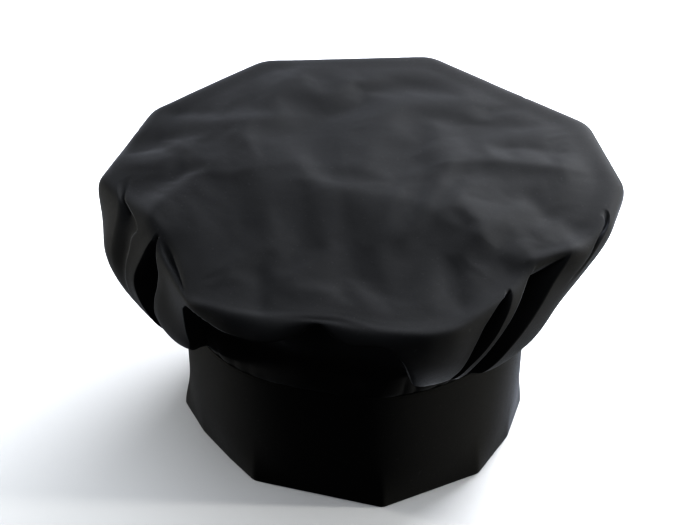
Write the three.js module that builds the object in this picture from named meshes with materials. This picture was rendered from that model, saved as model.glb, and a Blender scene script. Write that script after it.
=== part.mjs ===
// A floppy chef hat of black cotton cloth, standing on the rim of its band.
// Millimetres, +Z up. The origin is where it stands, under the middle of the crown, and -Y is the front.
// The tables count their azimuths about the band's axis, from +X towards +Y.
// Two sewn pieces: a stiff band that goes round the head, and a wide crown of one layer of cloth,
// pleated into the band's upper edge.
import * as THREE from "three";

// Driving dimensions.
const BAND_HEIGHT = 76;
const BAND_WALL = 2.4;
const CROWN_CLOTH = 1.3;
const HEM_DEPTH = 12;
const SEAM_GAP = 0.3;
const CROWN_MIDDLE = 145;
const COLUMNS = 128;

// The top rises from its shoulder to a rounded edge, and then runs almost level to the middle. The
// shares are of the shoulder's radius.
const TOP_EDGE = { share: 0.88, rise: 2.5 };
const TOP_LEVEL = { share: 0.45, drop: 0.5 };

// How far the corners of each outline are rounded off, in degrees to each side.
const ROUNDING = {
  foot: 1.5,
  top: 9,
  shoulderRadius: 3,
  shoulderHeight: 8,
  bellyRadius: 5,
  bellyHeight: 8,
  tuckRadius: 8,
  tuckHeight: 8,
};

// The section and run of every pleat. The shares of its run are where it is fully open and where it
// starts to close. A lip stands along each side, at a distance counted in half widths.
const PLEAT_SHAPE = {
  widthAtSeam: 0.4,
  openBy: 0.5,
  closeFrom: 0.76,
  lip: 0.14,
  lipAt: 1.7,
  lipSpread: 0.5,
};

// Names the columns of a short table, and turns each row into an object.
function table(names, rows) {
  const columns = names.split(" ");
  return rows.map((row) => Object.fromEntries(columns.map((name, i) => [name, row[i]])));
}

// The stiff band stands in soft facets. Its corners are in plan, from the right side round the back.
const BAND_CORNERS = table("azimuth foot top", [
  [-21, 90.5, 95],
  [-1, 94, 96],
  [25, 93, 95],
  [62, 92, 94],
  [100, 91, 93],
  [141, 93, 93],
  [182, 95.5, 94],
  [199, 88.5, 92],
  [217, 85.6, 91],
  [232, 87.7, 92],
  [280, 91.4, 94],
  [317, 92, 95],
]);

// The crown's outline, one row for each corner of its rim. The shoulder is where the top turns down,
// the belly is the widest point below it, and the tuck is the lowest part of the underside.
const CROWN_SECTIONS = table(
  "azimuth shoulderRadius shoulderHeight bellyRadius bellyHeight tuckRadius tuckHeight",
  [
    [-66, 119, 140, 120, 117, 104, 89],
    [-44, 114, 139, 115, 114, 102, 88],
    [-24, 123, 138, 119, 110, 107, 88],
    [-11, 137, 139, 129, 113, 112, 88],
    [4, 147, 140, 142, 117, 118, 90],
    [28, 146, 141, 143, 121, 115, 91],
    [50, 137, 142, 138, 118, 114, 90],
    [72, 149, 142, 145, 120, 116, 89],
    [92, 139, 142, 139, 118, 114, 88],
    [111, 147, 142, 143, 120, 116, 88],
    [143.5, 140, 142, 139, 118, 116, 88],
    [174, 138, 143, 136, 115, 122, 89],
    [190, 131, 142, 131, 110, 121, 87],
    [208, 122, 141, 120, 107, 107, 84],
    [230, 122, 141, 123, 116, 106, 88],
    [258, 114, 140, 119, 120, 102, 90],
    [280, 115, 140, 120, 120, 102, 90],
  ],
);

// The pleats of the side. The azimuths are at the band, at the belly and at the upper end. The end is
// given along the outline, where 1 is the tuck, 2 the belly and 3 the shoulder. The width is half of
// the groove's width at its upper end.
const PLEATS = table("seam belly upper end width depth", [
  [-57, -52, -45, 3.05, 8, 15],
  [-52, -38, -27, 3.15, 17, 21],
  [-28, -14, -4, 3.1, 8, 8],
  [22, 23, 24, 2.8, 12, 11],
  [52, 50, 48, 2.9, 13, 14],
  [84, 86, 88, 2.7, 12, 11],
  [112, 110, 108, 2.8, 10, 11],
  [146, 148, 150, 2.9, 13, 13],
  [176, 178, 176, 2.9, 9, 6],
  [208, 202, 196, 3.15, 14, 20],
  [226, 221, 214, 2.9, 10, 6],
  [258, 258, 258, 2.7, 14, 9],
  [286, 284, 282, 2.2, 11, 7],
]);

// Soft ridges and hollows of the top, as long mounds in plan. The turn is counted from +X.
const TOP_DENTS = table("x y length width turn height", [
  [0, -85, 95, 45, 0, -3],
  [-36, 95, 34, 17, -15, -3.5],
  [-30, 114, 34, 10, -45, 2.5],
  [-70, 64, 55, 11, 20, 2.5],
  [35, 107, 30, 13, 0, -2.5],
  [-111, 49, 26, 12, 35, -2.5],
  [-104, 8, 22, 14, 15, -4],
  [-100, -14, 24, 8, 60, 3],
  [-50, -66, 36, 14, 95, -3],
  [45, -52, 40, 13, -63, -3.5],
  [80, -46, 60, 14, -25, 3.5],
]);

const degrees = THREE.MathUtils.degToRad;
const smoothstep = THREE.MathUtils.smoothstep;
const turnFrom = (a, b) => THREE.MathUtils.euclideanModulo(a - b + 180, 360) - 180;

// The two rows of a table that an azimuth lies between, and how far it is from the first to the second.
function rowsAround(rows, azimuth) {
  const last = rows.length - 1;
  let i = rows.findIndex((row, n) => {
    const next = rows[(n + 1) % rows.length];
    const span = THREE.MathUtils.euclideanModulo(next.azimuth - row.azimuth, 360);
    return THREE.MathUtils.euclideanModulo(azimuth - row.azimuth, 360) < span;
  });
  if (i < 0) i = last;
  const [a, b] = [rows[i], rows[(i + 1) % rows.length]];
  const span = THREE.MathUtils.euclideanModulo(b.azimuth - a.azimuth, 360);
  const along = THREE.MathUtils.euclideanModulo(azimuth - a.azimuth, 360);
  return { a, b, span, along };
}

// A radius on the straight line, in plan, between two corners of an outline.
function chordRadius(rows, column, azimuth) {
  const { a, b, span, along } = rowsAround(rows, azimuth);
  const [start, end] = [a[column], b[column]];
  const total = degrees(span);
  const t = degrees(along);
  return (start * end * Math.sin(total)) / (start * Math.sin(t) + end * Math.sin(total - t));
}

function level(rows, column, azimuth) {
  const { a, b, span, along } = rowsAround(rows, azimuth);
  return THREE.MathUtils.lerp(a[column], b[column], along / span);
}

// An outline's value with its corners rounded off, as the mean over a few degrees.
function rounded(measure, rows, column, azimuth) {
  const steps = [-1, -0.5, 0, 0.5, 1];
  const reach = ROUNDING[column];
  const sum = steps.reduce((total, k) => total + measure(rows, column, azimuth + k * reach), 0);
  return sum / steps.length;
}

const bandRadius = (azimuth, height) => {
  const foot = rounded(chordRadius, BAND_CORNERS, "foot", azimuth);
  const top = rounded(chordRadius, BAND_CORNERS, "top", azimuth);
  return THREE.MathUtils.lerp(foot, top, height / BAND_HEIGHT);
};

// The crown's outline from the band's edge to its middle, at one azimuth: x is the radius, y the height.
function meridian(azimuth) {
  const radius = (column) => rounded(chordRadius, CROWN_SECTIONS, column, azimuth);
  const height = (column) => rounded(level, CROWN_SECTIONS, column, azimuth);
  const shoulder = radius("shoulderRadius");
  const shoulderHeight = height("shoulderHeight");
  const points = [
    [bandRadius(azimuth, BAND_HEIGHT) + CROWN_CLOTH, BAND_HEIGHT + SEAM_GAP],
    [radius("tuckRadius"), height("tuckHeight")],
    [radius("bellyRadius"), height("bellyHeight")],
    [shoulder, shoulderHeight],
    [shoulder * TOP_EDGE.share, shoulderHeight + TOP_EDGE.rise],
    [shoulder * TOP_LEVEL.share, CROWN_MIDDLE - TOP_LEVEL.drop],
    [0, CROWN_MIDDLE],
  ].map(([x, y]) => new THREE.Vector3(x, y, 0));
  return new THREE.CatmullRomCurve3(points, false, "centripetal");
}
const MERIDIAN_SPANS = 6;
const meridians = new Map();
function meridianPoint(azimuth, station) {
  const key = azimuth.toFixed(4);
  if (!meridians.has(key)) meridians.set(key, meridian(azimuth));
  return meridians.get(key).getPoint(Math.min(station, MERIDIAN_SPANS) / MERIDIAN_SPANS);
}

// The stations over which the top's dents fade in, on the way up from the side.
const DENTS_FADE_IN = [2.4, 3.6];

// How far the top rises or sinks at a point in plan.
function topDent(x, y) {
  return TOP_DENTS.reduce((sum, dent) => {
    const turn = degrees(dent.turn);
    const [dx, dy] = [x - dent.x, y - dent.y];
    const along = (dx * Math.cos(turn) + dy * Math.sin(turn)) / dent.length;
    const across = (-dx * Math.sin(turn) + dy * Math.cos(turn)) / dent.width;
    return sum + dent.height * Math.exp(-along * along - across * across);
  }, 0);
}

// How far the pleats pull the cloth in, at one azimuth and station.
function pleatPull(azimuth, station, radius) {
  return PLEATS.filter((pleat) => station < pleat.end).reduce((sum, pleat) => {
    const share = station / pleat.end;
    const middle =
      pleat.seam * (1 - share) ** 2 + pleat.belly * 2 * share * (1 - share) + pleat.upper * share ** 2;
    const { widthAtSeam, openBy, closeFrom, lip, lipAt, lipSpread } = PLEAT_SHAPE;
    const width = pleat.width * THREE.MathUtils.lerp(widthAtSeam, 1, share);
    const across = Math.abs(degrees(turnFrom(azimuth, middle)) * radius) / width;
    const open = smoothstep(share, 0, openBy) * (1 - smoothstep(share, closeFrom, 1));
    const valley = across < 1 ? Math.cos((across * Math.PI) / 2) ** 2 : 0;
    const lips = lip * Math.exp(-((across - lipAt) ** 2) / lipSpread);
    return sum + pleat.depth * open * (valley - lips);
  }, 0);
}

// Slopes are measured over short steps: in degrees round the hat, and in stations along the outline.
const SLOPE_TURN = 0.4;
const SLOPE_STEP = 0.03;

// The outward normal of the outline at one azimuth, as if there were no pleats.
function outlineNormal(azimuth, station) {
  const before = meridianPoint(azimuth, Math.max(station - SLOPE_STEP, 0));
  const after = meridianPoint(azimuth, Math.min(station + SLOPE_STEP, MERIDIAN_SPANS));
  const along = after.sub(before).normalize();
  const angle = degrees(azimuth);
  return new THREE.Vector3(along.y * Math.cos(angle), along.y * Math.sin(angle), -along.x);
}

// A point of the crown's outer face. The station counts along the outline, from 0 at the band.
function crownPoint(azimuth, station) {
  const here = meridianPoint(azimuth, station);
  const angle = degrees(azimuth);
  const point = new THREE.Vector3(here.x * Math.cos(angle), here.x * Math.sin(angle), here.y);
  point.addScaledVector(outlineNormal(azimuth, station), -pleatPull(azimuth, station, here.x));
  point.z += topDent(point.x, point.y) * smoothstep(station, ...DENTS_FADE_IN);
  return point;
}

function crownNormal(azimuth, station) {
  const [left, right] = [azimuth + SLOPE_TURN, azimuth - SLOPE_TURN];
  const around = crownPoint(left, station).sub(crownPoint(right, station));
  const low = crownPoint(azimuth, Math.max(station - SLOPE_STEP, 0));
  const along = crownPoint(azimuth, station + SLOPE_STEP).sub(low);
  return around.cross(along).normalize();
}

// A point of the crown's inner face. The wall's thickness is measured mostly across the outline, and
// only in part across the pleats, so that the two sides of a tight pleat stay apart.
const PLEAT_PART = 0.2;
function crownInnerPoint(azimuth, station) {
  const across = outlineNormal(azimuth, station).lerp(crownNormal(azimuth, station), PLEAT_PART);
  return crownPoint(azimuth, station).addScaledVector(across, -CROWN_CLOTH);
}

// The azimuths of the columns that both pieces share. They lie closer together at the pleats: by
// CROWDING times, over about CROWDED degrees to each side.
const CROWDING = 1.6;
const CROWDED = 10;
function columnAzimuths() {
  const crowding = (azimuth) =>
    PLEATS.reduce((sum, pleat) => {
      const away = turnFrom(azimuth, pleat.belly) / CROWDED;
      return sum + CROWDING * Math.exp(-away * away);
    }, 1);
  const steps = 1440;
  const running = [0];
  for (let i = 0; i < steps; i++) running.push(running[i] + crowding((i * 360) / steps));
  const azimuths = [];
  for (let i = 0, at = 0; i < COLUMNS; i++) {
    const wanted = (running[steps] * i) / COLUMNS;
    while (running[at + 1] < wanted) at++;
    azimuths.push(((at + (wanted - running[at]) / (running[at + 1] - running[at])) * 360) / steps);
  }
  return azimuths;
}

// Collects rings of points and joins them into one closed surface.
class RingMesh {
  positions = [];
  index = [];
  ring(points) {
    return points.map((p) => this.positions.push(p.x, p.y, p.z) / 3 - 1);
  }
  // Faces look left of the way from the first ring to the second, with the rings counter-clockwise.
  // The second ring has as many points as the first, or half as many.
  strip(first, second) {
    const step = first.length / second.length;
    second.forEach((corner, i) => {
      const next = second[(i + 1) % second.length];
      const near = first[i * step];
      const far = first[((i + 1) * step) % first.length];
      if (step === 1) this.index.push(near, far, next, near, next, corner);
      else {
        const middle = first[i * step + 1];
        this.index.push(near, middle, corner, middle, next, corner, middle, far, next);
      }
    });
  }
  fan(ring, point) {
    const [tip] = this.ring([point]);
    ring.forEach((corner, i) => this.index.push(corner, ring[(i + 1) % ring.length], tip));
  }
  turnOver() {
    for (let i = 0; i < this.index.length; i += 3) {
      [this.index[i + 1], this.index[i + 2]] = [this.index[i + 2], this.index[i + 1]];
    }
  }
  geometry() {
    const made = new THREE.BufferGeometry();
    made.setAttribute("position", new THREE.Float32BufferAttribute(this.positions, 3));
    made.setIndex(this.index);
    made.computeVertexNormals();
    return made;
  }
}

// The crown's rings: the station, and how many columns lie between two points of the ring.
const CROWN_RINGS = table("station every", [
  [0, 1],
  [0.3, 1],
  [0.65, 1],
  [1, 1],
  [1.3, 1],
  [1.6, 1],
  [1.9, 1],
  [2.2, 1],
  [2.5, 1],
  [2.75, 1],
  [3, 1],
  [3.25, 1],
  [3.5, 2],
  [3.75, 2],
  [4, 2],
  [4.3, 2],
  [4.65, 4],
  [5, 4],
  [5.35, 4],
  [5.7, 8],
]);

function crownGeometry(azimuths) {
  const mesh = new RingMesh();
  const ringAt = (every, place) => azimuths.filter((_, i) => i % every === 0).map(place);
  const hem = (azimuth, height, inset) => {
    const radius = bandRadius(azimuth, height) - BAND_WALL - SEAM_GAP - inset;
    const angle = degrees(azimuth);
    return new THREE.Vector3(radius * Math.cos(angle), radius * Math.sin(angle), height);
  };
  const hemFoot = BAND_HEIGHT - HEM_DEPTH;
  const hemTop = BAND_HEIGHT + SEAM_GAP;
  const outerRings = [
    mesh.ring(ringAt(1, (azimuth) => hem(azimuth, hemFoot, 0))),
    mesh.ring(ringAt(1, (azimuth) => hem(azimuth, hemTop, 0))),
    ...CROWN_RINGS.map(({ station, every }) =>
      mesh.ring(ringAt(every, (azimuth) => crownPoint(azimuth, station))),
    ),
  ];
  const innerRings = [
    mesh.ring(ringAt(1, (azimuth) => hem(azimuth, hemFoot, CROWN_CLOTH))),
    mesh.ring(ringAt(1, (azimuth) => hem(azimuth, hemTop + CROWN_CLOTH, CROWN_CLOTH / 2))),
    ...CROWN_RINGS.slice(1).map(({ station, every }) =>
      mesh.ring(ringAt(every, (azimuth) => crownInnerPoint(azimuth, station))),
    ),
  ];
  const middle = crownPoint(0, MERIDIAN_SPANS);
  outerRings.slice(1).forEach((ring, i) => mesh.strip(outerRings[i], ring));
  mesh.fan(outerRings.at(-1), middle);
  const outside = mesh.index;
  mesh.index = [];
  innerRings.slice(1).forEach((ring, i) => mesh.strip(innerRings[i], ring));
  mesh.fan(innerRings.at(-1), middle.clone().setZ(middle.z - CROWN_CLOTH));
  mesh.turnOver();
  mesh.index.push(...outside);
  mesh.strip(innerRings[0], outerRings[0]);
  return mesh.geometry();
}

function bandGeometry(azimuths) {
  const mesh = new RingMesh();
  const ringAt = (height, inset) =>
    mesh.ring(
      azimuths.map((azimuth) => {
        const radius = bandRadius(azimuth, height) - inset;
        const angle = degrees(azimuth);
        return new THREE.Vector3(radius * Math.cos(angle), radius * Math.sin(angle), height);
      }),
    );
  const rings = [
    ringAt(0, BAND_WALL),
    ringAt(0, 0),
    ringAt(BAND_HEIGHT, 0),
    ringAt(BAND_HEIGHT, BAND_WALL),
  ];
  rings.forEach((ring, i) => mesh.strip(ring, rings[(i + 1) % rings.length]));
  return mesh.geometry();
}

// Black cotton, a little glossier on the pressed band.
const crownCloth = new THREE.MeshStandardMaterial({ color: 0x17171a, roughness: 0.85, metalness: 0 });
const bandCloth = new THREE.MeshStandardMaterial({ color: 0x121213, roughness: 0.8, metalness: 0 });

const azimuths = columnAzimuths();
const band = new THREE.Mesh(bandGeometry(azimuths), bandCloth);
band.name = "band";

const crown = new THREE.Mesh(crownGeometry(azimuths), crownCloth);
crown.name = "crown";

// The origin is under the middle of the crown's outline.
const middle = new THREE.Box3().setFromObject(crown).getCenter(new THREE.Vector3());
const chefHat = new THREE.Group();
for (const piece of [band, crown]) {
  piece.position.set(-middle.x, -middle.y, 0);
  chefHat.add(piece);
}

export default chefHat;
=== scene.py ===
import math

import bpy
import numpy as np
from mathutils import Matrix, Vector


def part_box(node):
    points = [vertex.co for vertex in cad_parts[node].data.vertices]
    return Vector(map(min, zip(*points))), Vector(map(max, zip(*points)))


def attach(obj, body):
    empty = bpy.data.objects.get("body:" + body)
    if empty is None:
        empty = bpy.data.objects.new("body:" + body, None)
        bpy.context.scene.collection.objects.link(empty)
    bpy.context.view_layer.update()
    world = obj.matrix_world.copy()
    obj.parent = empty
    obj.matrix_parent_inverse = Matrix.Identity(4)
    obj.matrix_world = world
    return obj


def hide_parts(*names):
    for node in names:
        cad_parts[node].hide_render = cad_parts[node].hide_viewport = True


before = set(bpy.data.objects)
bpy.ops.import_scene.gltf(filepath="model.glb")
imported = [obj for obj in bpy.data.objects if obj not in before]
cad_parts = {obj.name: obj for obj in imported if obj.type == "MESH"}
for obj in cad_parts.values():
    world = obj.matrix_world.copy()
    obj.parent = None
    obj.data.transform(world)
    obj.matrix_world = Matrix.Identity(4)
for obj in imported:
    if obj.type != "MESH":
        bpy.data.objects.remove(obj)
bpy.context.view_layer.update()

# A floppy chef hat of black cotton cloth, standing on the rim of its band. Sizes in the tables are
# millimetres about the band's axis. Azimuths are degrees from the hat's +X side towards its back, +Y.
# A station is a place on the crown's section: 0 the seam, 1 the tuck, 2 the belly, 3 the shoulder, 4 the
# edge of the top, 5 where the top is level, and 6 its middle.
MM = 0.001

BAND_HEIGHT = 76
BAND_PLY = 0.8
BAND_WALL = 2.4
CROWN_PLY = 0.7
CROWN_MIDDLE = 145
MIDDLE_STATION = 6

# The crown's seam lies a little inside the band's outside and below its upper edge. The hem goes down
# from there.
SEAM_IN, SEAM_DOWN = 0.2, 0.5
HEM_DEPTH, HEM_TOP, HEM_ROWS = 9, 1.5, 5

# The edge of the top and its level part: the share of the way out to the shoulder, and the height above the
# shoulder or below the middle.
TOP_EDGE_SHARE, TOP_EDGE_RISE = 0.88, 2.5
TOP_LEVEL_SHARE, TOP_LEVEL_DROP = 0.45, 0.5

# The band's soft facets: azimuth, radius at the foot, radius at the top.
BAND_CORNERS = np.array([
    [-21, 92.5, 96],
    [-1, 95.5, 97],
    [25, 93, 95],
    [62, 92, 94],
    [100, 91, 93],
    [141, 93, 93],
    [182, 95.5, 96.5],
    [199, 88.5, 92],
    [217, 85.6, 91],
    [232, 88.5, 92],
    [280, 93, 95],
    [317, 94, 96],
])

# The facets' corners are sharp at the foot and have softened at this height. Over how many degrees each
# way the corners are rounded, at the foot and further up.
CORNERS_SOFTEN_BY = 15
BAND_ROUNDING = {"foot": 1.5, "top": 30}

# The corners of the crown's rim: azimuth, then radius and height of the shoulder, where the top turns
# down, of the belly, the widest place below it, and of the tuck, the lowest part of the underside.
CROWN_SECTIONS = np.array([
    [-72, 124, 139.5, 125, 119, 108, 91],
    [-66, 124.5, 139.5, 123, 118, 107, 92],
    [-58, 119, 140, 119, 116, 106, 87],
    [-46, 115.5, 139, 117, 114, 105, 83],
    [-36, 113, 138.5, 117, 111, 106, 82],
    [-28, 120, 138, 119, 109, 108, 83],
    [-23, 129, 138, 120, 109, 106, 84],
    [-11, 138, 139, 128, 112, 108.5, 86],
    [4, 146.5, 140, 141, 117, 117, 90],
    [28, 149, 141, 144, 121, 115, 91],
    [50, 137, 142, 138, 118, 114, 90],
    [72, 148, 142, 144.5, 120, 116, 89],
    [92, 138, 142, 138.5, 118, 114, 88],
    [111, 146, 142, 142.5, 120, 116, 88],
    [143.5, 140, 142, 139, 118, 116, 88],
    [160, 133, 143, 137, 124, 119, 88],
    [175, 138, 142, 136.5, 123, 121, 89],
    [189, 119.5, 143, 134.5, 119.5, 120.5, 87],
    [200, 112, 142, 121.5, 117, 112.5, 85],
    [214, 113, 142, 114, 118, 108, 84],
    [228, 123, 141, 122, 132, 98, 92],
    [238, 119, 141, 124, 130, 98, 92],
    [250, 111, 141, 124, 131, 98, 92],
    [259, 107, 141.5, 109, 129, 98, 92],
    [267, 107, 141, 117, 132, 98, 92],
    [275, 115, 140.5, 122, 130, 98, 92],
    [281.5, 119.5, 140, 125, 125, 103, 90],
])
SHOULDER, BELLY, TUCK = (1, 2), (3, 4), (5, 6)
# Over how many degrees each way these corners are rounded, in radius and in height.
CROWN_ROUNDING = {SHOULDER: (4, 11), BELLY: (6, 11), TUCK: (9, 11)}
ROUNDING_STEPS = np.linspace(-0.96, 0.96, 33)

# The deep folds of the side, from the front round by the right. Each row of a fold has the station, the
# azimuths of the fold's two lips there, and its depth. Walls says within how many mm of each lip the cloth
# turns in, and over how far the lips lean over the fold.
FOLDS = [
    dict(walls=(2.5, 2.5), over=1.2, rows=[
        (1.1, -63.5, -61.2, 0), (1.6, -62.3, -58.2, 15), (1.9, -61.5, -54.3, 24), (2.2, -60.3, -51, 27),
        (2.6, -57.8, -47.6, 27), (2.96, -52.4, -45.2, 20), (3.2, -47, -44.5, 0)]),
    dict(walls=(2.5, 11), over=1.5, rows=[
        (0, -58, -52, 0), (0.4, -59.5, -50.5, 12), (1.1, -60.4, -49, 20), (1.6, -57, -44, 28),
        (1.9, -53.3, -39.5, 34), (2.3, -48.9, -33.3, 36), (2.6, -45.4, -29.8, 36), (2.85, -42, -26.7, 32),
        (3.12, -36, -24.5, 6), (3.2, -34, -24, 0)]),
    dict(walls=(2, 4), over=1, rows=[
        (1.5, -35, -31, 0), (2.5, -25, -21.5, 0), (2.7, -22, -18.5, 3), (2.84, -20, -16.8, 4.5),
        (3.05, -16.8, -12.5, 5), (3.25, -12.5, -6.5, 3.5), (3.42, -8, -5, 0)]),
    dict(walls=(5, 5), over=1, rows=[
        (0.1, 19, 25, 0), (1, 18.3, 26, 12), (1.6, 18.5, 26.4, 13), (2.2, 20, 26, 9), (2.6, 22, 25, 4),
        (2.85, 23.5, 24.5, 0)]),
    dict(walls=(6, 3), over=2, rows=[
        (0.1, 48, 56, 0), (1, 46.5, 56, 15), (1.7, 44.8, 54.5, 17), (2.4, 43.5, 51, 13),
        (2.9, 43.2, 47.5, 6), (3.2, 43.2, 44.5, 0)]),
    dict(walls=(4, 6), over=1, rows=[
        (0.1, 80.5, 86.5, 0), (1, 80.5, 89, 11), (1.6, 82, 90, 12), (2.1, 84, 90.5, 7),
        (2.5, 86.8, 90, 0)]),
    dict(walls=(6, 3), over=1, rows=[
        (0.1, 109, 116, 0), (0.9, 107.5, 115.5, 13), (1.6, 105.5, 114, 14), (2.3, 103, 110.5, 11),
        (2.8, 101.5, 106, 5), (3.05, 101, 102.5, 0)]),
    dict(walls=(3, 6), over=2, rows=[
        (0.1, 143, 149.5, 0), (1, 142.5, 152, 13), (1.7, 143.5, 154, 15), (2.3, 146, 154.8, 11),
        (2.75, 149.5, 154.5, 5), (3, 152, 153.5, 0)]),
    dict(walls=(10, 6), over=0.5, rows=[
        (1.4, 191, 196, 0), (1.95, 191.5, 197, 2.5), (2.4, 189.5, 196.5, 3.5), (2.7, 187, 195, 3.5),
        (2.86, 185, 196.2, 4), (3, 183.5, 191.8, 4), (3.1, 182.5, 189.5, 4), (3.24, 180.5, 185, 3.5),
        (3.6, 176.5, 181, 2.5), (4.1, 172, 175.5, 0)]),
    dict(walls=(4, 2), over=2.5, rows=[
        (0.5, 204, 208, 0), (1.2, 202, 206.6, 12), (1.5, 199.5, 206, 22), (1.8, 198.6, 207.3, 26),
        (2.1, 199, 209.1, 28), (2.5, 200.2, 210.2, 28), (2.9, 200.2, 206.3, 20), (3.2, 199.8, 202, 0)]),
]
SHALLOWEST_FOLD = 0.01
ROWS_SMOOTHED_OVER = 0.08

# Each lip stands out by a share of the fold's depth. It leans over in full from a depth on, up to a width
# of its wall, and over a share of that wall.
LIP, LIP_WIDTH = 0.06, 3
LEANS_FROM, LEANS_UP_TO, LEANS_OVER = 12, 3, 0.7

# Shallow troughs round the side: azimuth and station of the middle, how far the trough reaches round and
# up, how far it climbs for each degree, and its depth.
SIDE_TROUGHS = [
    (214, 3.15, 8, 0.2, -0.014, 3.8),
    (262, 3.05, 9, 0.25, 0, 1),
]

# The deep hollow under the front's lip: azimuth, and the station that the hollow reaches up to.
FRONT_HOLLOW = np.array([
    [211, 0], [215, 0.85], [217, 1.15], [218.5, 1.5], [222, 2.0], [226, 2.4], [232.5, 2.12], [241.5, 2.06],
    [248.5, 2.08], [256.5, 2.26], [260, 2.8], [265, 2.28], [269, 2.06], [273, 2.25], [276.5, 2.4],
    [280, 2.25], [282.5, 1.9], [285.5, 1.32], [288.5, 1.15], [298, 1.1], [305, 0.95], [311, 0],
])
FRONT_HOLLOW_DEPTH = 14
# The two ends of that hollow, as rows of station and azimuth.
FRONT_HOLLOW_ENDS = [
    [(1.1, 216.8), (1.5, 218.5), (2.0, 222), (2.45, 226)],
    [(1.15, 288), (1.32, 285.5), (1.86, 282.5), (2.3, 280)],
]
# Over how many stations the cloth turns in under the lip, between which it deepens above the seam, and
# over how many degrees the lip's line is smoothed.
FRONT_HOLLOW_TURNS_IN, FRONT_HOLLOW_DEEPENS = 0.35, (0, 0.6)
FRONT_HOLLOW_SMOOTHED = (-0.8, 0, 0.8)

# How near to the axis a fold may reach, at the band and under the top, and between which heights. A
# little room is always left for it. The top itself begins at a station and has no such limit.
INNERMOST, INNERMOST_BETWEEN, LEAST_ROOM = (88, 60), (80, 112), 0.5
TOP_BEGINS = 3.5

# Soft mounds and hollows of the top, long in plan: x, y, length, width, turn from +X, height.
TOP_DENTS = [
    (0, -88, 100, 45, 0, -4.5),
    (37, 103, 18, 10, 0, -1.2),
    (-103, 3, 17, 13, 12, -1.7),
    (-111, 49, 20, 9, 20, -1.5),
]

# Creases of the top, in plan: from x, y to x, y, how far each slope reaches to the left and to the right
# of that line, and the height, which is below 0 for a valley.
TOP_CREASES = [
    (-41, 119, -12, 83, 22, 17, 1.7),
    (-72, 76, -14, 76, 16, 8, -0.6),
    (-108, 78, -76, 76, 8, 7, -1.3),
    (-88, 62, -45, 65, 8, 9, 0.7),
    (-66, 64, -20, 72, 9, 14, 1),
    (-124, 36, -101, 43, 8, 6, -1.2),
    (-124, 24, -96, 24, 12, 10, 1.4),
    (-88, 8, -112, -37, 9, 10, 3),
    (-67, 53, -55, 39, 3, 6, 0.8),
    (-92, 12, -55, 15, 38, 15, 2.5),
    (-58, 15, -24, 23, 40, 12, 1.7),
    (-28, 23, 14, 15, 40, 12, 1.5),
    (-55, -10, -14, -4, 35, 22, 2.2),
    (-18, -4, 26, -8, 35, 24, 2.2),
    (20, -11, 42, -19, 30, 16, 1.8),
    (38, -17, 70, -46, 30, 16, 2.2),
    (12, 80, 42, 36, 25, 22, 1.1),
    (40, 40, 50, 14, 25, 18, 0.8),
    (70, 81, 92, 80, 4, 6, -0.35),
    (54, 65, 84, 64, 4, 6, -0.35),
    (78, 42, 118, 37, 4, 8, -0.6),
    (44, 21, 82, 26, 20, 7, 1.9),
    (78, 25, 124, 20, 20, 7, 1.8),
    (42, 14, 70, -42, 18, 9, 1.4),
    (62, -38, 84, -60, 12, 9, 1.9),
    (84, -60, 122, -50, 14, 6, 3.2),
    (92, 0, 104, -24, 9, 9, -1),
    (100, -20, 122, -34, 9, 9, -1.4),
    (50, -60, 54, -98, 5, 7, -1.6),
    (-48, -62, -46, -102, 4, 7, -1.1),
    (-99, -44, -82, -97, 6, 5, -3.2),
]
# How round a crease is, as a share of its reach, and the shares of its length where it fades in and out.
CREASE_SOFTNESS = 0.4
CREASE_FADES_IN, CREASE_FADES_OUT = (-0.2, 0.25), (0.75, 1.2)

# The stations between which the top's mounds and creases come in.
DENTS_FADE_IN = (2.4, 3.6)

# The mesh of the crown's cloth. Its columns lie closer together at the lips of the folds: by how much, over
# how many degrees, and at which station that is worked out. Each stretch of rows has the station that it
# ends at, its number of rows, and every how many columns a row has a point.
COLUMNS = 600
COLUMNS_CROWD_BY, COLUMNS_CROWD_WITHIN, COLUMNS_CROWD_AT = 3.5, 1.6, 2.2
CROWN_ROWS = [(1, 9, 1), (2, 16, 1), (3, 14, 1), (4.2, 15, 1), (5.1, 30, 2), (5.6, 10, 4), (5.92, 6, 8)]
SECTION_SAMPLES = np.linspace(0, MIDDLE_STATION, 121)


def smoothstep(x, low, high):
    """0 below low, 1 above high, and a smooth change between."""
    t = np.clip((x - low) / (high - low), 0, 1)
    return t * t * (3 - 2 * t)


def mix(a, b, share):
    """The value a share of the way from a to b."""
    return a + (b - a) * share


def turn_from(a, b):
    """The degrees from b to a, the short way round."""
    return (a - b + 180) % 360 - 180


# Outlines in plan and the crown's section.

def between_corners(table, azimuths):
    """The rows before and after each azimuth, the degrees between them, and the degrees gone."""
    corners = np.append(table[:, 0], table[0, 0] + 360)
    within = (azimuths - corners[0]) % 360 + corners[0]
    before = np.clip(np.searchsorted(corners, within, side="right") - 1, 0, len(table) - 1)
    span = corners[before + 1] - corners[before]
    return before, (before + 1) % len(table), span, within - corners[before]


def chord_radius(table, column, azimuths):
    """The radius of an outline of straight lines from corner to corner."""
    before, after, span, gone = between_corners(table, azimuths)
    start, end = table[before, column], table[after, column]
    total, turned = np.radians(span), np.radians(gone)
    return start * end * np.sin(total) / (start * np.sin(turned) + end * np.sin(total - turned))


def level(table, column, azimuths):
    """A height that changes evenly from corner to corner."""
    before, after, span, gone = between_corners(table, azimuths)
    return mix(table[before, column], table[after, column], gone / span)


def rounded(measure, table, column, azimuths, reach):
    """The outline's radius or level with its corners rounded off, as the mean over a few degrees."""
    values = [measure(table, column, azimuths + k * reach) for k in ROUNDING_STEPS]
    return np.average(values, axis=0, weights=1 + np.cos(np.pi * ROUNDING_STEPS))


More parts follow.
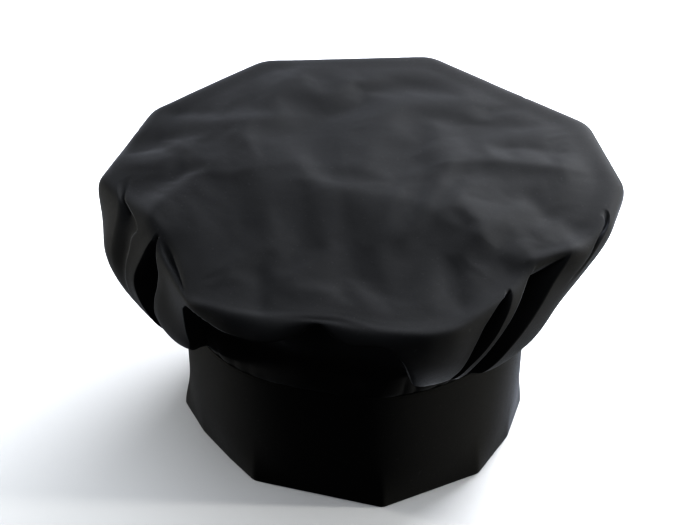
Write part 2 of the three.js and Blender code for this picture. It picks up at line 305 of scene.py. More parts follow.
def band_radius(azimuths, height):
    """The band stands in facets with sharp corners at its foot, which soften a little higher up."""
    sharp = rounded(chord_radius, BAND_CORNERS, 1, azimuths, BAND_ROUNDING["foot"])
    foot = rounded(chord_radius, BAND_CORNERS, 1, azimuths, BAND_ROUNDING["top"])
    top = rounded(chord_radius, BAND_CORNERS, 2, azimuths, BAND_ROUNDING["top"])
    corner = (sharp - foot) * math.exp(-(height / CORNERS_SOFTEN_BY) ** 2)
    return mix(foot, top, height / BAND_HEIGHT) + corner


class Section:
    """The crown's section at many azimuths, as a smooth curve from the seam to the middle."""

    LEAST_STEP = 1e-4
    SLOPE_STEP = 0.03

    def __init__(self, azimuths):
        points = self.points(azimuths)
        points = np.concatenate([[2 * points[0] - points[1]], points, [2 * points[-1] - points[-2]]])
        apart = np.linalg.norm(np.diff(points, axis=0), axis=1)
        steps = np.maximum(np.sqrt(apart), self.LEAST_STEP)[:, None]
        self.spans = []
        for i in range(len(points) - 3):
            before, start, end, after = points[i:i + 4]
            first, middle, last = steps[i:i + 3]
            out = ((start - before) / first - (end - before) / (first + middle)
                   + (end - start) / middle) * middle
            into = ((end - start) / middle - (after - start) / (middle + last)
                    + (after - end) / last) * middle
            bend, twist = 3 * (end - start) - 2 * out - into, 2 * (start - end) + out + into
            self.spans.append((start, out, bend, twist))

    @staticmethod
    def points(azimuths):
        """Radius and height at each whole station, for every azimuth."""
        flat = np.ones(azimuths.shape)
        points = [(band_radius(azimuths, BAND_HEIGHT) - SEAM_IN, flat * (BAND_HEIGHT - SEAM_DOWN))]
        for place in (TUCK, BELLY, SHOULDER):
            reach = CROWN_ROUNDING[place]
            points.append((rounded(chord_radius, CROWN_SECTIONS, place[0], azimuths, reach[0]),
                           rounded(level, CROWN_SECTIONS, place[1], azimuths, reach[1])))
        shoulder, height = points[-1]
        points.append((shoulder * TOP_EDGE_SHARE, height + TOP_EDGE_RISE))
        points.append((shoulder * TOP_LEVEL_SHARE, flat * (CROWN_MIDDLE - TOP_LEVEL_DROP)))
        points.append((flat * 0, flat * CROWN_MIDDLE))
        return np.array(points)

    def at(self, station):
        """Radius and height at one station, for every azimuth."""
        span = min(int(station), len(self.spans) - 1)
        t = station - span
        start, slope, bend, twist = self.spans[span]
        return start + slope * t + bend * t * t + twist * t * t * t

    def outward(self, station):
        """The direction out of the cloth at one station, as its parts outwards and upwards."""
        before, after = max(station - self.SLOPE_STEP, 0), min(station + self.SLOPE_STEP, MIDDLE_STATION)
        along = self.at(after) - self.at(before)
        along /= np.maximum(np.linalg.norm(along, axis=0), 1e-9)
        return along[1], -along[0]


# The crown's folds.

# The small tucks: how many, how far each lies off its even place, how far it drifts round on its way up,
# the station it ends at, its depth, its width and how round its bottom is. A tuck fades in over a stretch
# of stations, and out over a share of its own height.
TUCK_COUNT, TUCK_OFF, TUCK_DRIFT = 48, 2.2, (-4, 4)
TUCK_ENDS_AT, TUCK_DEPTH = (0.7, 1.7), (1.6, 3.4)
TUCK_WIDTH, TUCK_FOLD = 2.4, 0.5
TUCK_FADES_IN, TUCK_FADES_OUT = (-0.25, 0.3), (0.2, 1)


def seam_tucks():
    """The small tucks that gather the crown into the band: azimuth, drift, end and depth."""
    rng = np.random.default_rng(7)
    azimuths = np.arange(0, 360, 360 / TUCK_COUNT) + rng.uniform(-TUCK_OFF, TUCK_OFF, TUCK_COUNT)
    return [(azimuth, rng.uniform(*TUCK_DRIFT), rng.uniform(*TUCK_ENDS_AT), rng.uniform(*TUCK_DEPTH))
            for azimuth in azimuths]


TUCKS = seam_tucks()


def tuck_pull(azimuths, station, radius):
    """How far the small tucks pull the cloth in, in mm."""
    pull = np.zeros(azimuths.shape)
    for middle, drift, end, depth in TUCKS:
        if station >= end:
            continue
        share = station / end
        away = np.radians(turn_from(azimuths, middle + drift * share)) * radius
        fold = np.exp(-(np.sqrt(away ** 2 + TUCK_FOLD ** 2) - TUCK_FOLD) / (TUCK_WIDTH * (1 + share)))
        there = smoothstep(station, *TUCK_FADES_IN) * (1 - smoothstep(share, *TUCK_FADES_OUT))
        pull += depth * fold * there
    return pull


def between_rows(fold, station, column):
    """One column of a fold's table at a station, with the corners between its rows smoothed."""
    rows = np.array(fold["rows"])
    near = station + np.linspace(-1, 1, 5) * ROWS_SMOOTHED_OVER
    return np.interp(near, rows[:, 0], rows[:, column]).mean()


def deep_folds(azimuths, station, radius):
    """How far the folds of the side pull the cloth in, and how far they slide it round, in mm."""
    pull, slide = np.zeros(azimuths.shape), np.zeros(azimuths.shape)
    around = np.radians(1) * radius
    for fold in FOLDS:
        low, high, depth = (between_rows(fold, station, column) for column in (1, 2, 3))
        if depth < SHALLOWEST_FOLD:
            continue
        low_wall, high_wall = fold["walls"]
        from_low, from_high = turn_from(azimuths, low) * around, turn_from(high, azimuths) * around
        valley = smoothstep(from_low, 0, low_wall) * smoothstep(from_high, 0, high_wall)
        pull = np.maximum(pull, depth * valley)
        for sign, inside, wall in ((1, from_low, low_wall), (-1, from_high, high_wall)):
            pull -= LIP * depth * np.exp(-((inside + LIP_WIDTH) / LIP_WIDTH) ** 2)
            lean = min(1, depth / LEANS_FROM) * min(1, LEANS_UP_TO / wall)
            slide += sign * fold["over"] * lean * np.exp(-(inside / (LEANS_OVER * wall)) ** 2)
    return pull, slide


def side_troughs(azimuths, station):
    """How far the shallow troughs pull the cloth in, in mm."""
    pull = np.zeros(azimuths.shape)
    for azimuth, middle, round_by, up_by, climb, depth in SIDE_TROUGHS:
        away = turn_from(azimuths, azimuth)
        pull += depth * np.exp(-(away / round_by) ** 2 - ((station - middle - climb * away) / up_by) ** 2)
    return pull


def front_hollow(azimuths, station):
    """How far the cloth turns in under the lip of the front, in mm."""
    reach = np.mean([np.interp((azimuths + turn) % 360, FRONT_HOLLOW[:, 0], FRONT_HOLLOW[:, 1])
                     for turn in FRONT_HOLLOW_SMOOTHED], axis=0)
    under_lip = smoothstep(reach - station, 0, FRONT_HOLLOW_TURNS_IN)
    return FRONT_HOLLOW_DEPTH * under_lip * smoothstep(station, *FRONT_HOLLOW_DEEPENS)


# The faint creases: how many, within which radius, their lengths, the way they run in radians from +X with
# its spread, how far their slopes reach, and the spread of their heights.
FAINT_COUNT, FAINT_WITHIN, FAINT_LENGTHS = 70, 130, (14, 45)
FAINT_WAY, FAINT_REACHES, FAINT_HEIGHTS = (0.1, 0.4), (4, 9), 0.17


def faint_creases():
    """Slight creases all over the top, most of them from side to side, in the form of TOP_CREASES."""
    rng = np.random.default_rng(5)
    creases = []
    for _ in range(FAINT_COUNT):
        out, turn = FAINT_WITHIN * math.sqrt(rng.uniform()), rng.uniform(0, 2 * math.pi)
        x, y = out * math.cos(turn), out * math.sin(turn)
        length, way = rng.uniform(*FAINT_LENGTHS), rng.normal(*FAINT_WAY)
        reaches = rng.uniform(*FAINT_REACHES, 2)
        height = rng.normal(0, FAINT_HEIGHTS)
        creases.append((x, y, x + length * math.cos(way), y + length * math.sin(way), *reaches, height))
    return creases


FAINT_CREASES = faint_creases()


def top_rise(x, y):
    """How far the mounds, hollows and creases lift the top at places in plan, in mm."""
    rise = np.zeros(x.shape)
    for at_x, at_y, length, width, turn, height in TOP_DENTS:
        cosine, sine = math.cos(math.radians(turn)), math.sin(math.radians(turn))
        along = ((x - at_x) * cosine + (y - at_y) * sine) / length
        across = ((y - at_y) * cosine - (x - at_x) * sine) / width
        rise += height * np.exp(-along ** 2 - across ** 2)
    for x1, y1, x2, y2, left, right, height in TOP_CREASES + FAINT_CREASES:
        length = math.hypot(x2 - x1, y2 - y1)
        cosine, sine = (x2 - x1) / length, (y2 - y1) / length
        along = ((x - x1) * cosine + (y - y1) * sine) / length
        across = (y - y1) * cosine - (x - x1) * sine
        slope = np.hypot(across / np.where(across > 0, left, right), CREASE_SOFTNESS) - CREASE_SOFTNESS
        ends = smoothstep(along, *CREASE_FADES_IN) * (1 - smoothstep(along, *CREASE_FADES_OUT))
        rise += height * ends * np.exp(-slope)
    return rise


def only(piece):
    """Makes a piece the one that the operators act on."""
    bpy.ops.object.select_all(action="DESELECT")
    piece.select_set(True)
    bpy.context.view_layer.objects.active = piece


def places(piece):
    """The places of a piece's points, in metres."""
    found = np.zeros(len(piece.data.vertices) * 3)
    piece.data.vertices.foreach_get("co", found)
    return found.reshape(-1, 3)


# The top's cloth is a little too large for its place, and buckles. A net with its shape finds out how. The
# net is square in plan, falls away by a few mm towards the rim, and is held loosely, and firmly at the rim.
NET_PITCH, NET_REACH, NET_TURN, NET_FALL = 3, 159, math.radians(28), 4
NET_SLACK = 0.0025
NET_HELD, NET_HELD_FROM = 0.06, (0.78, 0.95)
NET_FRAMES = 24
NET_CLOTH = dict(
    quality=8, mass=0.02, tension_stiffness=15, compression_stiffness=15, shear_stiffness=8,
    bending_stiffness=3, vertex_group_mass="held", pin_stiffness=0.3, shrink_min=-NET_SLACK)


def net_across():
    """The places of the net's knots along one side."""
    return np.arange(-NET_REACH, NET_REACH + 1, NET_PITCH)


def turned(x, y, angle):
    """Places in plan, turned about the axis."""
    return x * math.cos(angle) - y * math.sin(angle), x * math.sin(angle) + y * math.cos(angle)


def net_piece(x, y, height, inside):
    """The net as a mesh, of the knots that lie inside the rim."""
    number = np.cumsum(inside).reshape(x.shape) - 1
    whole = inside[:-1, :-1] & inside[1:, :-1] & inside[1:, 1:] & inside[:-1, 1:]
    faces = np.stack([number[:-1, :-1], number[1:, :-1], number[1:, 1:], number[:-1, 1:]], axis=-1)[whole]
    knots = np.stack([x[inside], y[inside], height[inside]], axis=1) * MM
    mesh = bpy.data.meshes.new("net")
    mesh.from_pydata(knots.tolist(), [], faces.tolist())
    net = bpy.data.objects.new("net", mesh)
    bpy.context.scene.collection.objects.link(net)
    return net


def settle(net, held):
    """Lets the net buckle as cloth. Held says how firmly each of its knots is kept in place."""
    group = net.vertex_groups.new(name="held")
    for amount in np.unique(held):
        group.add(np.flatnonzero(held == amount).tolist(), float(amount), "REPLACE")
    cloth = net.modifiers.new("cloth", "CLOTH")
    for name, value in NET_CLOTH.items():
        setattr(cloth.settings, name, value)
    cloth.settings.effector_weights.gravity = 0
    cloth.collision_settings.use_collision = False
    cloth.point_cache.frame_end = NET_FRAMES
    for number in range(1, NET_FRAMES + 1):
        bpy.context.scene.frame_set(number)
    only(net)
    bpy.ops.object.modifier_apply(modifier="cloth")
    bpy.context.scene.frame_set(1)


def settled_rise():
    """How far each knot of the net rises as it settles, in mm."""
    along, across = np.meshgrid(net_across(), net_across(), indexing="ij")
    x, y = turned(along, across, NET_TURN)
    azimuths = np.degrees(np.arctan2(y, x)).ravel()
    rim = rounded(chord_radius, CROWN_SECTIONS, SHOULDER[0], azimuths, CROWN_ROUNDING[SHOULDER][0])
    share = np.hypot(x, y) / rim.reshape(x.shape)
    height = CROWN_MIDDLE - NET_FALL * share ** 4 + top_rise(x, y)
    inside = share < 1
    net = net_piece(x, y, height, inside)
    settle(net, mix(NET_HELD, 1, smoothstep(share[inside], *NET_HELD_FROM)).round(2))
    rise = np.zeros(x.shape)
    rise[inside] = places(net)[:, 2] / MM - height[inside]
    bpy.data.objects.remove(net)
    return rise


def spline_weights(t):
    """The weights of the four knots round a place, a share t past the second, on a cubic B-spline."""
    second = (3 * t - 6) * t * t / 6 + 2 / 3
    third = ((3 - 3 * t) * t + 3) * t / 6 + 1 / 6
    return (1 - t) ** 3 / 6, second, third, t ** 3 / 6


def at_net(rise, x, y):
    """The rise of the settled net at places between its knots."""
    along, across = turned(x, y, -NET_TURN)
    along, across = (along + NET_REACH) / NET_PITCH, (across + NET_REACH) / NET_PITCH
    column, row = np.floor(along).astype(int), np.floor(across).astype(int)
    column_weights, row_weights = spline_weights(along - column), spline_weights(across - row)
    total = 0
    for i, column_weight in enumerate(column_weights, -1):
        for j, row_weight in enumerate(row_weights, -1):
            total = total + column_weight * row_weight * rise[column + i, row + j]
    return total


def crown_row(azimuths, station, settled):
    """Points of one row of the crown's cloth."""
    section = Section(azimuths)
    radius, height = section.at(station)
    out, up = section.outward(station)
    pull, slide = deep_folds(azimuths, station, radius)
    pull = np.maximum(pull, front_hollow(azimuths, station)) + tuck_pull(azimuths, station, radius)
    pull += side_troughs(azimuths, station)
    angle = np.radians(azimuths) + slide / np.maximum(radius, 1)
    if station < TOP_BEGINS:
        innermost = mix(*INNERMOST, smoothstep(height, *INNERMOST_BETWEEN))
        room = np.maximum(radius - innermost, LEAST_ROOM)
        pull = np.where(pull > 0, room * np.tanh(pull / room), pull)
    plan = radius - pull * out
    x, y = plan * np.cos(angle), plan * np.sin(angle)
    rise = (top_rise(x, y) + at_net(settled, x, y)) * smoothstep(station, *DENTS_FADE_IN)
    z = height - pull * up + rise
    return np.stack([x, y, z], axis=1)


def fold_lips(station):
    """The azimuths of all the folds' lips and of the front hollow's ends at a station, once round."""
    lips = [between_rows(fold, station, column) for fold in FOLDS for column in (1, 2)]
    ends = [np.interp(station, *np.array(rows).T) for rows in FRONT_HOLLOW_ENDS]
    return np.array(lips + ends + [lips[0] + 360])


def column_shares():
    """Where the cloth's columns lie between the lips, as lip number and share of the way to the next."""
    lips = fold_lips(COLUMNS_CROWD_AT)
    step = 0.1
    fine = np.arange(lips[0], lips[-1], step)
    crowding = np.ones(fine.shape)
    for lip in lips:
        crowding += COLUMNS_CROWD_BY * np.exp(-(turn_from(fine, lip) / COLUMNS_CROWD_WITHIN) ** 2)
    running = np.concatenate([[0], np.cumsum(crowding)])
    even = np.arange(COLUMNS) * running[-1] / COLUMNS
    turns = lips[0] + step * np.interp(even, running, np.arange(len(running)))
    return np.interp(turns, lips, np.arange(len(lips)))


COLUMN_SHARES = column_shares()


def column_azimuths(station):
    """The azimuths of the cloth's columns at a station. The columns keep to the lips of the folds."""
    lips = fold_lips(station)
    return np.interp(COLUMN_SHARES, np.arange(len(lips)), lips)


# Meshes.

def hat_axis():
    """Where the band's axis stands in the part's frame."""
    azimuths = np.arange(0, 360, 0.5)
    angle = np.radians(azimuths)
    top, foot = band_radius(azimuths, BAND_HEIGHT), band_radius(azimuths, 0)
    x = np.concatenate([top * np.cos(angle), foot * np.cos(angle)])
    y = np.concatenate([top * np.sin(angle), foot * np.sin(angle)])
    low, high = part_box("band")
    return np.array([(low.x + high.x) / 2 / MM - (x.min() + x.max()) / 2,
                     (low.y + high.y) / 2 / MM - (y.min() + y.max()) / 2, 0])


AXIS = hat_axis()


class Rings:
    """Collects rings of points, and joins each to the next with faces."""

    def __init__(self):
        self.points, self.faces, self.cloth = [], [], []

    def ring(self, points, cloth):
        """Adds a ring of points, with their places on the cloth laid out flat. Returns their numbers."""
        first = len(self.points)
        self.points.extend(points.tolist())
        self.cloth.extend(cloth.tolist())
        return list(range(first, len(self.points)))

    def join(self, first, second):
        """Joins two rings with faces. The second has as many points as the first, or half as many."""
        step = len(first) // len(second)
        for i, corner in enumerate(second):
            following = second[(i + 1) % len(second)]
            near, far = first[i * step], first[(i + 1) * step % len(first)]
            if step == 1:
                self.faces.append((near, far, following, corner))
            else:
                middle = first[i * step + 1]
                self.faces += [(near, middle, corner), (middle, following, corner),
                               (middle, far, following)]

    def close(self, ring, tip):
        """Closes a ring with faces to one point."""
        self.faces += [(corner, ring[(i + 1) % len(ring)], tip[0]) for i, corner in enumerate(ring)]

    def piece(self, name, material):
        """All of it as one piece, with its place on the cloth as a UV map."""
        mesh = bpy.data.meshes.new(name)
        mesh.from_pydata(((np.array(self.points) + AXIS) * MM).tolist(), [], self.faces)
        layer = mesh.uv_layers.new(name="cloth")
        corners = np.zeros(len(mesh.loops), int)
        mesh.loops.foreach_get("vertex_index", corners)
        layer.data.foreach_set("uv", (np.array(self.cloth)[corners] * MM).ravel())
        mesh.materials.append(material)
        mesh.shade_smooth()
        piece = bpy.data.objects.new(name, mesh)
        bpy.context.scene.collection.objects.link(piece)
        return piece


def level_ring(azimuths, radius, height):
    """Points round the axis at one height."""
    angle = np.radians(azimuths)
    return np.stack([radius * np.cos(angle), radius * np.sin(angle), np.full(angle.shape, height)], axis=1)


def crown_rows():
    """The stations of the crown's rows, each with every how many columns it has a point."""
    rows, start = [], 0
    for end, count, every in CROWN_ROWS:
        rows += [(start + (end - start) * i / count, every) for i in range(count)]
        start = end
    return rows + [(start, CROWN_ROWS[-1][2])]


def cloth_from_middle(azimuths):
    """How much cloth lies between the middle of the top and each of the section's samples, on average."""
    section = Section(azimuths)
    arcs = np.array([section.at(station) for station in SECTION_SAMPLES])
    lengths = np.linalg.norm(np.diff(arcs, axis=0), axis=1).mean(axis=1)
    return np.append(np.cumsum(lengths[::-1])[::-1], 0)


def on_cloth(azimuths, out):
    """Places on the crown's round cloth, laid out flat."""
    return np.stack([out * np.cos(np.radians(azimuths)), out * np.sin(np.radians(azimuths))], axis=1)


def crown_piece(material):
    """The crown: one piece of cloth, from the hem inside the band to the middle of the top."""
    azimuths = column_azimuths(0)
    settled = settled_rise()
    from_middle = cloth_from_middle(azimuths)
    rings = Rings()
    made = []
    hem_radius = band_radius(azimuths, BAND_HEIGHT) - BAND_WALL / 2
    for height in np.linspace(BAND_HEIGHT - HEM_DEPTH, BAND_HEIGHT - HEM_TOP, HEM_ROWS):
        out = from_middle[0] + BAND_HEIGHT - height
        made.append(rings.ring(level_ring(azimuths, hem_radius, height), on_cloth(azimuths, out)))
    for station, every in crown_rows():
        turns = column_azimuths(station)[::every]
        out = np.interp(station, SECTION_SAMPLES, from_middle)
        made.append(rings.ring(crown_row(turns, station, settled), on_cloth(turns, out)))
    for lower, upper in zip(made, made[1:]):
        rings.join(lower, upper)
    tip = rings.ring(crown_row(azimuths[:1], MIDDLE_STATION, settled), np.zeros((1, 2)))
    rings.close(made[-1], tip)
    piece = rings.piece("crown_sheet", material)
    wall = piece.modifiers.new("wall", "SOLIDIFY")
    wall.thickness = CROWN_PLY * MM
    wall.offset = -1
    only(piece)
    bpy.ops.object.modifier_apply(modifier="wall")
    return piece


# The band's mesh: its columns, the rows of each face and the steps of the fold at its foot, outside and
# between the plies, and the radius at which its cloth is measured.
BAND_COLUMNS = 480
FACE_ROWS, FOLD_STEPS = 30, 9
INNER_FACE_ROWS, INNER_FOLD_STEPS = 10, 5
BAND_MIDDLE_RADIUS = 90


def half_turn(middle, radius, sign, steps):
    """The places on a half circle round the foot's fold, without its ends. Sign says which way it goes."""
    return [(middle + sign * radius * math.cos(turn), middle - radius * math.sin(turn))
            for turn in np.linspace(0, math.pi, steps)[1:-1]]


def band_profile():
    """The section of the folded strip, as distances in from the band's outside and heights: down the
    outside, round the fold, up the inside, and back along the two faces between the plies."""
    fold = BAND_WALL / 2
    edge, tip = BAND_HEIGHT - BAND_PLY, BAND_HEIGHT - BAND_PLY / 2
    outside = [(0.0, height) for height in np.linspace(edge, fold, FACE_ROWS)]
    inside = [(BAND_WALL, height) for height in np.linspace(fold, edge, FACE_ROWS)]
    back_in = [(BAND_WALL - BAND_PLY, height) for height in np.linspace(edge, fold, INNER_FACE_ROWS)]
    back_out = [(BAND_PLY, height) for height in np.linspace(fold, edge, INNER_FACE_ROWS)]
    outer = outside + half_turn(fold, fold, -1, FOLD_STEPS) + inside
    inner = back_in + half_turn(fold, fold - BAND_PLY, 1, INNER_FOLD_STEPS) + back_out
    return outer + [(BAND_WALL - BAND_PLY / 2, tip)] + inner + [(BAND_PLY / 2, tip)]


# The strip's ends lap over each other at the back: where the outer end lies, where the lap has died away,
# how far the end stands out, and how wide its edge is. The edge has columns of its own.
LAP_END, LAP_GONE, LAP_RISE, LAP_EDGE = 84, (98, 112), 0.8, 0.4
LAP_COLUMNS = LAP_END + LAP_EDGE * np.linspace(-1, 1, 5) + 0.01


def lap_rise(azimuths):
    """How far the lap stands out from the band, in mm."""
    edge = smoothstep(azimuths, LAP_END - LAP_EDGE, LAP_END + LAP_EDGE)
    return LAP_RISE * edge * (1 - smoothstep(azimuths, *LAP_GONE))


def band_piece(material):
    """The band: one strip of cloth, folded double at its foot."""
    azimuths = np.sort(np.append(np.arange(BAND_COLUMNS) * 360 / BAND_COLUMNS, LAP_COLUMNS))
    round_band = np.radians(azimuths) * BAND_MIDDLE_RADIUS
    rings = Rings()
    profile = band_profile()
    made = []
    along = 0.0
    last = profile[0]
    for inset, height in profile:
        along += math.hypot(inset - last[0], height - last[1])
        last = (inset, height)
        radius = band_radius(azimuths, height) - inset + lap_rise(azimuths) * (inset < BAND_WALL / 2)
        cloth = np.stack([round_band, np.full(azimuths.shape, along)], axis=1)
        made.append(rings.ring(level_ring(azimuths, radius, height), cloth))
    for i, ring in enumerate(made):
        rings.join(made[(i + 1) % len(made)], ring)
    return rings.piece("band_strip", material)


# The lap's stitches: their length, pitch and half thickness, the azimuths of the two rows, and their ends.
STITCH, STITCH_PITCH, THREAD = 2.1, 2.9, 0.28
STITCH_ROWS = (LAP_END + 1.1, LAP_GONE[0] - 1)
STITCHES_BETWEEN = (4, 73)


def on_band(azimuth, height):
    """A place on the outside of the band, in metres."""
    azimuths = np.array([azimuth])
    radius = band_radius(azimuths, height) + lap_rise(azimuths)
    return Vector(level_ring(azimuths, radius, height)[0] + AXIS) * MM


def stitch_row(azimuth):
    """A row of stitches up the outside of the band."""
    low, high = STITCHES_BETWEEN
    start, end = on_band(azimuth, low), on_band(azimuth, high)
    bpy.ops.object.select_all(action="DESELECT")
    bpy.ops.mesh.primitive_uv_sphere_add(segments=10, ring_count=7, radius=THREAD * MM)
    row = bpy.context.object
    row.scale = (1, 1, STITCH / 2 / THREAD)
    bpy.ops.object.transform_apply(location=False, rotation=False, scale=True)
    repeat = row.modifiers.new("repeat", "ARRAY")
    repeat.count = int((high - low) / STITCH_PITCH)
    repeat.use_relative_offset, repeat.use_constant_offset = False, True
    repeat.constant_offset_displace = (0, 0, STITCH_PITCH * MM)
    bpy.ops.object.modifier_apply(modifier="repeat")
    bpy.ops.object.shade_smooth()
    row.location = start
    row.rotation_euler = (end - start).to_track_quat("Z", "Y").to_euler()
    bpy.ops.object.transform_apply(location=True, rotation=True, scale=True)
    return row


def seam_stitches(material):
    """The two rows that hold the lap at the back."""
    rows = [stitch_row(azimuth) for azimuth in STITCH_ROWS]
    for row in rows:
        row.select_set(True)
    bpy.context.view_layer.objects.active = rows[0]
    bpy.ops.object.join()
    rows[0].name = rows[0].data.name = "lap_stitches"
    rows[0].data.materials.append(material)
    return rows[0]


# Materials.

# The numbers of sockets whose names a node uses more than once, and of the Object coordinates.
FIRST_COLOUR, SECOND_COLOUR, BLENDED_COLOUR = 6, 7, 2
OBJECT_PLACE = 3


class Wire:
    """A value inside a material. An expression on it adds its Math nodes."""

    def __init__(self, finish, socket):
        self.finish, self.socket = finish, socket

    def math(self, operation, *values):
        return self.finish.add("ShaderNodeMath", dict(operation=operation), dict(enumerate(values)))

    def __add__(self, other):
        return self.math("ADD", self, other)

    def __mul__(self, other):
        return self.math("MULTIPLY", self, other)

    def __gt__(self, other):
        return self.math("GREATER_THAN", self, other)

    __radd__, __rmul__ = __add__, __mul__

    def sine(self):
        return self.math("SINE", self)

    def output(self, number):
        """Another output of the node that this value comes from."""
        return Wire(self.finish, self.socket.node.outputs[number])


class Finish:
    """One material, built node by node."""

    def __init__(self, name):
        self.material = bpy.data.materials.new(name)
        self.material.use_nodes = True
        self.tree = self.material.node_tree
        self.tree.nodes.clear()

    def add(self, kind, settings=None, values=None, output=0):
        """Makes a node, from its type, its settings and the values or wires of its sockets."""
        node = self.tree.nodes.new(kind)
        for name, value in (settings or {}).items():
            setattr(node, name, value)
        for name, value in (values or {}).items():
            if isinstance(value, Wire):
                self.tree.links.new(value.socket, node.inputs[name])
            else:
                node.inputs[name].default_value = value
        return Wire(self, node.outputs[output]) if node.outputs else None

    def blend(self, share, first, second):
        """A colour between two."""
        first, second = (value if isinstance(value, Wire) else (*value, 1) for value in (first, second))
        values = {"Factor": share, FIRST_COLOUR: first, SECOND_COLOUR: second}
        return self.add("ShaderNodeMix", dict(data_type="RGBA"), values, BLENDED_COLOUR)

    def place(self):
        """The place on the piece."""
        return self.add("ShaderNodeTexCoord", output=OBJECT_PLACE)

    def noise(self, place, size_mm, detail=2):
        """A cloudy pattern, from 0 to 1."""
        values = {"Vector": place, "Scale": 1 / (size_mm * MM), "Detail": detail}
        return self.add("ShaderNodeTexNoise", values=values)

    def surface(self, constants, **wires):
        """The finished material, from what is the same all over it and what changes over it."""
        varying = {name.replace("_", " "): wire for name, wire in wires.items()}
        shader = self.add("ShaderNodeBsdfPrincipled", values={**constants, **varying})
        self.add("ShaderNodeOutputMaterial", values={"Surface": shader})
        return self.material


# The cloth's thread pitch, the height of its relief, and the sizes of its dye's clouds, its slubs, its
# loose fibres and its lint. Lint lies where its noise is highest, and shows faintly.
THREAD_PITCH, RELIEF = 0.4, 0.3
DYE_CLOUD, SLUB, FIBRE, LINT = 60, 3.5, 0.9, 1.6
LINT_FROM, LINT_SHOWS, LINT_COLOUR = 0.8, 0.05, (0.12, 0.12, 0.12)
MATT = {"Specular IOR Level": 0.12, "Sheen Weight": 0.1, "Sheen Roughness": 0.35,
        "Sheen Tint": (0.8, 0.85, 1, 1)}


def black_cotton(name, deep, light, roughness):
    """Black poplin: a plain weave that follows the cloth, faint uneven dye, slubs and a little lint."""
    finish = Finish(name)
    cloth = finish.add("ShaderNodeUVMap", dict(uv_map="cloth"))
    along = finish.add("ShaderNodeSeparateXYZ", values={0: cloth})
    per_thread = math.pi / (THREAD_PITCH * MM)
    warp = (along * per_thread).sine()
    weft = (along.output(1) * per_thread).sine()
    weave = warp * weft * 0.5 + 0.5
    place = finish.place()
    dye = finish.noise(place, DYE_CLOUD, detail=3)
    slub = finish.noise(place, SLUB, detail=4)
    fibre = finish.noise(place, FIBRE, detail=2)
    lint = finish.noise(place, LINT, detail=0) > LINT_FROM
    shade = dye * 0.35 + slub * 0.25 + fibre * 0.4
    colour = finish.blend(shade, deep, light)
    colour = finish.blend(lint * LINT_SHOWS, colour, LINT_COLOUR)
    rough = roughness + 0.1 * slub
    height = weave * 0.3 + fibre * 0.3 + slub * 0.4
    bump = finish.add("ShaderNodeBump", values={"Strength": 0.4, "Distance": RELIEF * MM, "Height": height})
    return finish.surface(MATT, Base_Color=colour, Roughness=rough, Normal=bump)


# The floor's faint clouds: their size, and the greys between which they change.
FLOOR_CLOUD, FLOOR_GREYS = 400, ((0.33, 0.335, 0.345), (0.35, 0.35, 0.36))


def pale_floor():
    finish = Finish("pale_floor")
    colour = finish.blend(finish.noise(finish.place(), FLOOR_CLOUD), *FLOOR_GREYS)
    return finish.surface({"Roughness": 0.7, "Specular IOR Level": 0.2}, Base_Color=colour)


# The hat.

crown_cloth = black_cotton(
    "crown_cloth", deep=(0.005, 0.0051, 0.0055), light=(0.0145, 0.0148, 0.0156), roughness=0.8)
# The band's cotton is the crown's black cotton made darker: painted shade, for the band standing dim under
# the crown's overhang. Its stitches share it.
band_cloth = black_cotton(
    "band_cloth", deep=(0.0028, 0.0028, 0.0028), light=(0.0086, 0.0086, 0.0083), roughness=0.77)
crown = crown_piece(crown_cloth)
band = band_piece(band_cloth)
stitches = seam_stitches(band_cloth)
for piece, node in ((crown, "crown"), (band, "band"), (stitches, "band")):
    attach(piece, "root")
    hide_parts(node)
    node + "_cloth"


# The room, the light and the camera, in metres.

# Each light's name, place, what it shines at, size, power and colour.
LIGHTS = [
    ("key", (0.38, 0.52, 0.46), (0, 0, 0.12), 0.5, 17, (0.97, 0.98, 1)),
    ("overhead", (0, 0, 1.6), (0, 0, 0), 3.4, 65, (0.94, 0.97, 1)),
    ("right_side", (1.09, -0.12, 0.15), (0, 0, 0.09), 0.1, 23, (1, 0.98, 0.9)),
    ("left_side", (-1.04, 0.22, 0.15), (0, 0, 0.09), 0.1, 15.5, (1, 0.98, 0.9)),
]
SKY_COLOUR, SKY_STRENGTH = (0.86, 0.92, 1, 1), 0.02

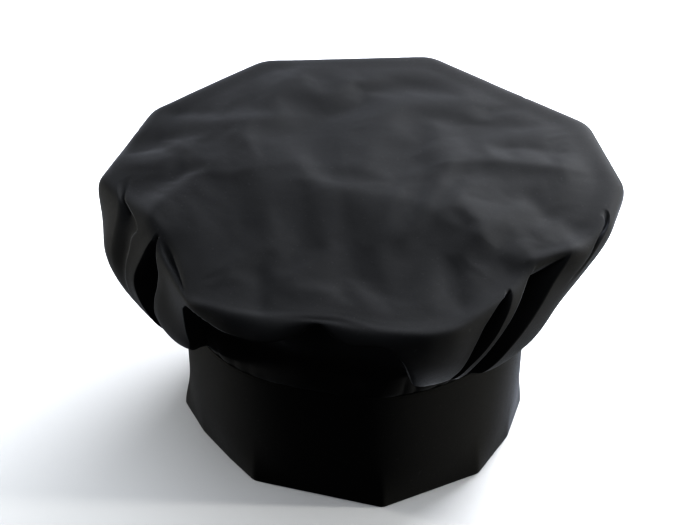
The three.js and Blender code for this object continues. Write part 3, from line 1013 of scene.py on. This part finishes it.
# How far the camera looks down, in degrees, and from how far away. Its lens and the width of its picture,
# and the place about the band's axis that it looks at, in mm.
CAMERA_LOOKS_DOWN, CAMERA_DISTANCE = 36.5, 1.25
CAMERA_LENS, CAMERA_SENSOR = 117.69, 36
CAMERA_AIM = np.array([-1.7, 0, 97])

FLOOR_SIZE = 12


def make_floor():
    """A pale floor. It sends no diffuse light back, so the hollows under the crown stay dark."""
    bpy.ops.object.select_all(action="DESELECT")
    bpy.ops.mesh.primitive_plane_add(size=FLOOR_SIZE, location=(0, 0, 0))
    floor = bpy.context.object
    floor.name = "floor"
    floor.data.materials.append(pale_floor())
    floor.visible_diffuse = False


def softbox(name, place, aim, size, power, colour):
    """A round soft light."""
    light = bpy.data.lights.new(name, "AREA")
    light.shape = "DISK"
    light.size, light.energy, light.color = size, power, colour
    lamp = bpy.data.objects.new(name, light)
    lamp.location = place
    lamp.rotation_euler = (Vector(aim) - Vector(place)).to_track_quat("-Z", "Y").to_euler()
    bpy.context.scene.collection.objects.link(lamp)


def studio():
    """A faint sky, the lights, and the picture's contrast."""
    world = bpy.data.worlds.new("studio")
    world.use_nodes = True
    sky = world.node_tree.nodes["Background"]
    sky.inputs["Color"].default_value = SKY_COLOUR
    sky.inputs["Strength"].default_value = SKY_STRENGTH
    bpy.context.scene.world = world
    for light in LIGHTS:
        softbox(*light)
    view = bpy.context.scene.view_settings
    view.view_transform = "Standard"
    view.look = "Very High Contrast"


def photo_camera():
    """The camera looks down on the front of the hat."""
    tilt = math.radians(CAMERA_LOOKS_DOWN)
    camera = bpy.data.objects.new("camera", bpy.data.cameras.new("camera"))
    camera.data.sensor_width, camera.data.lens = CAMERA_SENSOR, CAMERA_LENS
    back = Vector((0, -math.cos(tilt), math.sin(tilt)))
    camera.location = Vector((CAMERA_AIM + AXIS) * MM) + back * CAMERA_DISTANCE
    camera.rotation_euler = (-back).to_track_quat("-Z", "Y").to_euler()
    bpy.context.scene.collection.objects.link(camera)
    bpy.context.scene.camera = camera


make_floor()
studio()
photo_camera()
